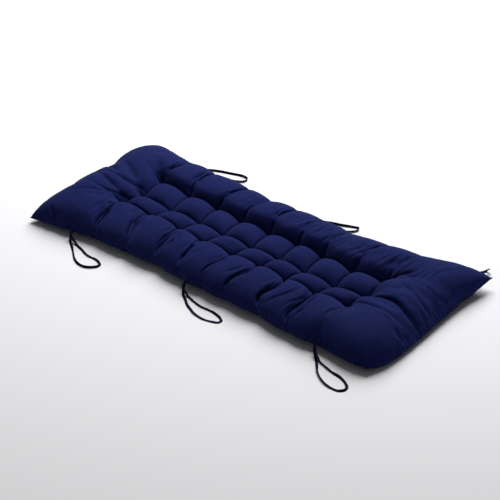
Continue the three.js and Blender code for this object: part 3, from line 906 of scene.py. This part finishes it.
def make_tie(name, strap):
    """One loop of strap, and the path that the middle of the strap takes."""
    path = smooth_route(tie_routes[name], strap.step)
    turns = strap_turns(name, len(path))
    half_width, half_thick = strap.width / 2, strap.thickness / 2
    lying = half_width * np.abs(np.sin(turns)) + half_thick * np.abs(np.cos(turns))
    on_floor = 1 - smooth(path[:, 2], FLOOR_REACH / 2, FLOOR_REACH)
    path[:, 2] = lerp(path[:, 2], lying, on_floor)
    across, out = turned_frame(path, turns)
    angles = np.linspace(0, 2 * np.pi, strap.sides, endpoint=False)[:, None]
    flat, thick = (
        half * np.sign(part) * np.abs(part) ** STRAP_SQUARE
        for half, part in ((half_width, np.cos(angles)), (half_thick, np.sin(angles)))
    )
    rings = path[:, None] + across[:, None] * flat + out[:, None] * thick
    piece = new_piece(name + "_strap", rings.reshape(-1, 3), tube_faces(len(path), strap.sides))
    corners = np.empty(len(piece.data.loops), np.int32)
    piece.data.loops.foreach_get("vertex_index", corners)
    ring, side = np.divmod(corners, strap.sides)
    lay_flat(piece, np.stack([ring * strap.step, flat[side, 0]], -1))
    return piece, path


def make_camera():
    """The photograph's view: where its camera stands, and how far its picture is turned."""
    data = bpy.data.cameras.new("camera")
    data.lens = CAMERA_LENS
    camera = add_object("camera", data)
    azimuth, elevation, roll = (math.radians(angle) for angle in CAMERA_ANGLES)
    level = math.cos(elevation)
    back = Vector((math.sin(azimuth) * level, -math.cos(azimuth) * level, math.sin(elevation)))
    turned = back.to_track_quat("Z", "Y").to_matrix() @ Matrix.Rotation(roll, 3, "Z")
    camera.matrix_world = Matrix.Translation(CAMERA_PLACE) @ turned.to_4x4()
    bpy.context.scene.camera = camera


def linear(colour):
    """An sRGB hex colour as linear numbers."""
    parts = [int(colour[i : i + 2], 16) / 255 for i in (1, 3, 5)]
    return [p / 12.92 if p <= 0.04045 else ((p + 0.055) / 1.055) ** 2.4 for p in parts] + [1]


def new_material(name):
    material = bpy.data.materials.new(name)
    material.use_nodes = True
    material.node_tree.nodes.clear()
    return material, material.node_tree


def add_node(tree, kind, settings=None, **inputs):
    """A shader node with its settings, its inputs set to a value or linked from another socket."""
    node = tree.nodes.new("ShaderNode" + kind)
    for name, value in (settings or {}).items():
        setattr(node, name, value)
    for name, value in inputs.items():
        socket = node.inputs[int(name[1:]) if name[0] == "_" else name.replace("_", " ")]
        if isinstance(value, bpy.types.NodeSocket):
            tree.links.new(value, socket)
        else:
            socket.default_value = value
    return node


def peached_plain_weave(name, colour, worn, thread):
    """Plain-woven polyester, brushed on its face. It looks matt and soft, with a faint pale bloom
    where it turns away, a fine grain of threads, and no gloss. The threads of such a cloth are
    about 0.3 mm apart, too fine for the picture, so they are drawn about three times as coarse."""
    material, tree = new_material(name)
    place = add_node(tree, "UVMap", {"uv_map": "flat_cloth"}).outputs["UV"]
    where = add_node(tree, "TexCoord").outputs["Object"]
    parts = add_node(tree, "SeparateXYZ", Vector=place)
    times, plus = {"operation": "MULTIPLY"}, {"operation": "MULTIPLY_ADD"}
    waves = []
    for axis in "XY":
        turns = add_node(tree, "Math", times, _0=parts.outputs[axis], _1=math.pi / thread)
        waves.append(add_node(tree, "Math", {"operation": "SINE"}, _0=turns.outputs[0]).outputs[0])
    weave = add_node(tree, "Math", times, _0=waves[0], _1=waves[1])
    nap = add_node(tree, "TexNoise", Vector=where, Scale=1 / NAP_SIZE, Detail=3.0, Roughness=0.6)
    cloud = add_node(tree, "TexNoise", Vector=where, Scale=1 / CLOUD_SIZE)
    patch = add_node(tree, "Math", plus, _0=cloud.outputs[0], _1=CLOUD_SHADE[0], _2=CLOUD_SHADE[1])
    share = add_node(tree, "Math", plus, _0=nap.outputs[0], _1=NAP_SHADE, _2=patch.outputs[0])
    rgba = {"data_type": "RGBA"}
    shade = add_node(tree, "Mix", rgba, Factor=share.outputs[0], _6=colour, _7=worn)
    relief = add_node(tree, "Math", plus, _0=weave.outputs[0], _1=0.5, _2=nap.outputs[0])
    bump = add_node(tree, "Bump", Strength=0.35, Distance=thread * 0.4, Height=relief.outputs[0])
    shader = add_node(
        tree,
        "BsdfPrincipled",
        Base_Color=shade.outputs[2],
        Roughness=0.92,
        IOR=1.5,
        Specular_IOR_Level=0.08,
        Sheen_Weight=0.03,
        Sheen_Roughness=0.4,
        Sheen_Tint=linear("#8f9cd8"),
        Normal=bump.outputs[0],
    )
    add_node(tree, "OutputMaterial", Surface=shader.outputs[0])
    return material


def spun_polyester_thread(name, colour):
    """Spun polyester sewing thread: dyed to match the cloth, closer and a little glossier, with the
    slanting ridges of its twist. They are about 0.5 mm apart, too fine for the picture, so they are
    drawn between four and five times as coarse."""
    material, tree = new_material(name)
    place = add_node(tree, "TexCoord").outputs["Object"]
    slant = {"bands_direction": "DIAGONAL"}
    twist = add_node(tree, "TexWave", slant, Vector=place, Scale=TWIST_SCALE)
    bump = add_node(tree, "Bump", Strength=0.5, Distance=0.0002, Height=twist.outputs[1])
    look = {"Base_Color": colour, "Roughness": 0.7, "Specular_IOR_Level": 0.3}
    shader = add_node(tree, "BsdfPrincipled", **look, Normal=bump.outputs[0])
    add_node(tree, "OutputMaterial", Surface=shader.outputs[0])
    return material


def matt_paper(name, colour):
    """The studio's pale paper: even, matt and without a grain that shows."""
    material, tree = new_material(name)
    look = {"Base_Color": colour, "Roughness": 0.95, "Specular_IOR_Level": 0.1}
    shader = add_node(tree, "BsdfPrincipled", **look)
    add_node(tree, "OutputMaterial", Surface=shader.outputs[0])
    return material


def hang_light(name, place, size, power):
    """A round soft light that faces the middle of the pad."""
    data = bpy.data.lights.new(name, "AREA")
    data.shape = "DISK"
    data.size = size
    data.energy = power
    light = add_object(name, data)
    light.location = place
    light.rotation_mode = "QUATERNION"
    light.rotation_quaternion = Vector(place).to_track_quat("Z", "Y")


def metres(name, description, default):
    return FloatProperty(name=name, description=description, default=default, unit="LENGTH")


def factor(name, description, default):
    return FloatProperty(name=name, description=description, default=default, subtype="FACTOR")


def number(name, description, default):
    return FloatProperty(name=name, description=description, default=default)


def whole_number(name, description, default):
    return IntProperty(name=name, description=description, default=default)


def tint(name, description, default):
    """A colour, with its default as an sRGB hex colour."""
    look = {"subtype": "COLOR", "size": 4, "min": 0.0, "max": 1.0, "default": linear(default)}
    return FloatVectorProperty(name=name, description=description, **look)


class PadShape(bpy.types.PropertyGroup):
    crown_front: metres("Front roll", "Height of the front roll", 0.072)
    crown_back: metres("Back roll", "Height of the back roll", 0.0755)
    crown_middle: metres("Inner puffs", "Height between the tacks", 0.058)
    crown_left: metres("Left end", "Height of the left end", 0.070)
    crown_right: metres("Right end", "Height of the right end", 0.072)
    seam_front: metres("Front seam", "Height of the front seam", 0.021)
    seam_back: metres("Back seam", "Height of the back seam", 0.026)
    tack_depth: metres("Tack depth", "How much deeper a tack is than the solid's", 0.012)
    tack_thickness: metres("Tack", "Thickness that a tack leaves", 0.010)
    underside_press: metres("Press", "How far the floor presses it flat", 0.016)
    roll_crease: metres("Creases", "Depth of the rolls' creases", 0.015)
    crease_width: metres("Crease width", "Width of a crease's side", 0.005)
    scallop: metres("Scallop", "How far the seam bows outwards", 0.005)
    uneven: metres("Uneven", "How much fuller some puffs are", 0.003)
    saddle: factor("Saddle", "Share of the crown between tacks", 0.4)
    sharpness: number("Roundness", "Under 1 for round rolls, narrow creases", 0.6)
    inner_sharpness: number("Inner roundness", "Under 1 for round puffs, narrow creases", 0.55)


class PadCloth(bpy.types.PropertyGroup):
    cell: metres("Cell", "Size of the cloth grid's cells", 0.0055)
    slack: factor("Slack", "Spare cloth between the tacks", 0.02)
    seam_slack: factor("Seam slack", "Spare cloth at the seams", 0.14)
    pressure: number("Pressure", "How hard the filling pushes on the cloth", 10.0)
    vertex_mass: number("Mass", "Mass of each grid point", 0.1)
    bending: number("Bending", "How much it resists a fold", 0.1)
    quality: whole_number("Steps", "Simulation steps a frame", 5)
    frames: whole_number("Frames", "Length of the simulation", 10)
    most_move: metres("Cap", "Furthest that a point is moved", 0.030)
    thread: metres("Thread", "Thread spacing as it is drawn", 0.0009)


class PadStrap(bpy.types.PropertyGroup):
    width: metres("Width", "Width of the strap", 0.007)
    thickness: metres("Thickness", "Thickness of the strap", 0.0014)
    step: metres("Step", "Distance between two sections", 0.0025)
    sides: whole_number("Sides", "Points in the strap's section", 12)


class PadStitch(bpy.types.PropertyGroup):
    length: metres("Stitch", "Half the length of a stitch", 0.004)
    thread: metres("Thread", "Half the thread's thickness", 0.0006)


class PadColours(bpy.types.PropertyGroup):
    cloth: tint("Cloth", "The dyed cloth", "#070e36")
    cloth_worn: tint("Brushed cloth", "The brushed nap", "#172159")
    strap: tint("Strap", "The straps' cloth", "#05081f")
    strap_worn: tint("Brushed strap", "Its brushed nap", "#0a0f2c")
    thread: tint("Thread", "The sewing thread", "#060b2c")
    floor: tint("Floor", "The studio's paper", "#e6e6e8")


class PAD_OT_camera(bpy.types.Operator):
    """Set the camera at the photograph's angle"""

    bl_idname = "pad.camera"
    bl_label = "Camera"

    def execute(self, context):
        make_camera()
        return {"FINISHED"}


class PAD_OT_ties(bpy.types.Operator):
    """Lay the six strap loops along the pad's long seams"""

    bl_idname = "pad.ties"
    bl_label = "Strap Loops"

    def execute(self, context):
        strap, colours = context.scene.pad_strap, context.scene.pad_colours
        thread = context.scene.pad_cloth.thread
        cloth = peached_plain_weave("strap_plain_weave", colours.strap, colours.strap_worn, thread)
        for name in tie_routes:
            piece, path = make_tie(name, strap)
            piece.data.materials.append(cloth)
            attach(piece, "root")
            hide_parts(name)
        return {"FINISHED"}


class PAD_OT_cushion(bpy.types.Operator):
    """Cut, tack and fill the pad, and let its cloth swell"""

    bl_idname = "pad.cushion"
    bl_label = "Cushion"

    def execute(self, context):
        cloth, colours = context.scene.pad_cloth, context.scene.pad_colours
        piece, spots = make_cushion(context.scene.pad_shape, cloth)
        cover = (colours.cloth, colours.cloth_worn, cloth.thread)
        piece.data.materials.append(peached_plain_weave("peached_plain_weave", *cover))
        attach(piece, "root")
        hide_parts("cushion")
        stitches = make_stitches(spots, context.scene.pad_stitch)
        thread = spun_polyester_thread("spun_polyester_thread", colours.thread)
        stitches.data.materials.append(thread)
        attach(stitches, "root")
        return {"FINISHED"}


class PAD_OT_stage(bpy.types.Operator):
    """Lay the pale floor and hang the soft studio light"""

    bl_idname = "pad.stage"
    bl_label = "Floor and Light"

    def execute(self, context):
        bpy.ops.mesh.primitive_plane_add(size=FLOOR_SIZE, location=(0, 0, 0))
        floor = context.object
        floor.name = "floor"
        floor.data.materials.append(matt_paper("matt_paper", context.scene.pad_colours.floor))
        world = bpy.data.worlds.new("studio")
        world.use_nodes = True
        background = world.node_tree.nodes["Background"]
        background.inputs["Color"].default_value = linear("#ffffff")
        background.inputs["Strength"].default_value = WORLD_STRENGTH
        context.scene.world = world
        context.scene.view_settings.view_transform = "Standard"
        hang_light("top_light", LIGHT_PLACE, LIGHT_SIZE, LIGHT_POWER)
        return {"FINISHED"}


class PAD_PT_panel(bpy.types.Panel):
    """The pad's sizes and colours, and the steps that make it"""

    bl_idname = "PAD_PT_panel"
    bl_label = "Tufted Seat Pad"
    bl_space_type = "VIEW_3D"
    bl_region_type = "UI"
    bl_category = "Pad"

    def draw(self, context):
        for name, group in GROUPS.items():
            for field in group.__annotations__:
                self.layout.prop(getattr(context.scene, name), field)
        for step in STEPS:
            self.layout.operator(step.bl_idname)


GROUPS = {
    "pad_shape": PadShape,
    "pad_cloth": PadCloth,
    "pad_strap": PadStrap,
    "pad_stitch": PadStitch,
    "pad_colours": PadColours,
}
STEPS = (PAD_OT_camera, PAD_OT_ties, PAD_OT_cushion, PAD_OT_stage)
CLASSES = (*GROUPS.values(), *STEPS, PAD_PT_panel)


def register():
    for cls in CLASSES:
        bpy.utils.register_class(cls)
    for name, group in GROUPS.items():
        setattr(bpy.types.Scene, name, PointerProperty(type=group))


def unregister():
    for name in GROUPS:
        delattr(bpy.types.Scene, name)
    for cls in reversed(CLASSES):
        bpy.utils.unregister_class(cls)


def main():
    register()
    bpy.ops.pad.camera()
    bpy.ops.pad.ties()
    bpy.ops.pad.cushion()
    bpy.ops.pad.stage()


if __name__ == "__main__":
    main()
